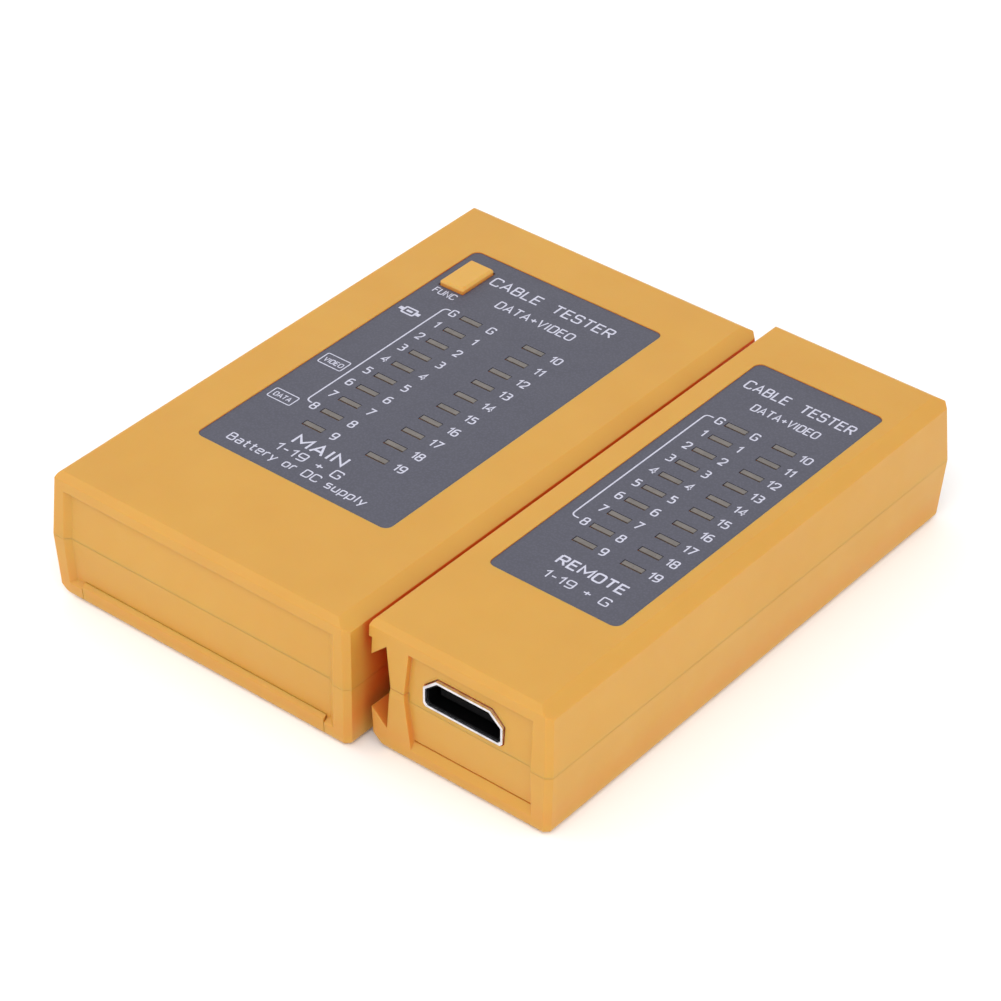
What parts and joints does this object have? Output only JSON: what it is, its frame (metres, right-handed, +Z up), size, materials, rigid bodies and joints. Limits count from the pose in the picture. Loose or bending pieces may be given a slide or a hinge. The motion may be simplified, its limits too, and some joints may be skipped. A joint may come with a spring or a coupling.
{
  "type": "network cable tester",
  "caption": "Two-piece hand-held cable tester: a main unit and a slimmer remote, with network and video sockets, rows of indicator lamps, a function button and a sliding battery door.",
  "frame": {"origin": "centre of the whole object's bounding box, on the table", "axes": "+Z up, +Y from the front end to the rear end along both units, +X from the main unit to the remote"},
  "size_m": [0.0988, 0.1076, 0.0242],
  "materials": {
    "case_plastic": "fine-grained moulded ABS",
    "label_film": "printed polyester film",
    "button_plastic": "moulded ABS",
    "board_laminate": "green solder mask",
    "black_plastic": "moulded, dark",
    "lamp_resin": "tinted epoxy",
    "bright_shell": "nickel-plated steel",
    "contact_gold": "gold-plated contacts",
    "can_metal": "drawn can",
    "screw_steel": "zinc-plated",
    "battery_jacket": "lacquered jacket",
    "lead_red": "soft insulation",
    "lead_black": "soft insulation",
    "ceramic": "coated ceramic"
  },
  "bodies": {
    "main_unit": {"main_top_shell": "case_plastic", "main_bottom_shell": "case_plastic", "main_label": "label_film", "switch_body": "black_plastic", "main_circuit_board": "board_laminate", "main_indicator_leds": "lamp_resin", "main_network_socket": "black_plastic", "main_network_contacts": "contact_gold", "main_video_shell": "bright_shell", "main_video_insulator": "black_plastic", "main_video_contacts": "contact_gold", "power_jack": "black_plastic", "power_jack_pin": "bright_shell", "battery": "battery_jacket", "battery_terminals": "can_metal", "battery_clip": "black_plastic", "battery_lead_red": "lead_red", "battery_lead_black": "lead_black", "controller_chip": "black_plastic", "clock_crystal": "can_metal", "supply_capacitor": "can_metal", "main_resistors": "ceramic", "main_case_screws": "screw_steel", "main_board_screws": "screw_steel"},
    "function_button": {"function_button": "button_plastic", "switch_plunger": "black_plastic"},
    "battery_door": {"battery_door": "case_plastic"},
    "remote_unit": {"remote_top_shell": "case_plastic", "remote_bottom_shell": "case_plastic", "remote_label": "label_film", "remote_circuit_board": "board_laminate", "remote_indicator_leds": "lamp_resin", "remote_video_shell": "bright_shell", "remote_video_insulator": "black_plastic", "remote_video_contacts": "contact_gold", "remote_network_socket": "black_plastic", "remote_network_contacts": "contact_gold", "remote_resistors": "ceramic", "remote_diodes": "black_plastic", "remote_case_screws": "screw_steel", "remote_board_screws": "screw_steel"}
  },
  "joints": [
    {"name": "function_press", "type": "slide", "parent": "main_unit", "child": "function_button", "axis": [0, 0, -1], "range_m": [0, 0.0005], "stiffness_N_per_m": 800},
    {"name": "battery_door_slide", "type": "slide", "parent": "main_unit", "child": "battery_door", "axis": [0, -1, 0], "range_m": [0, 0.005]},
    {"name": "remote_lift_off", "type": "slide", "parent": "main_unit", "child": "remote_unit", "axis": [1, 0, 0], "range_m": [0, 0.1]}
  ]
}
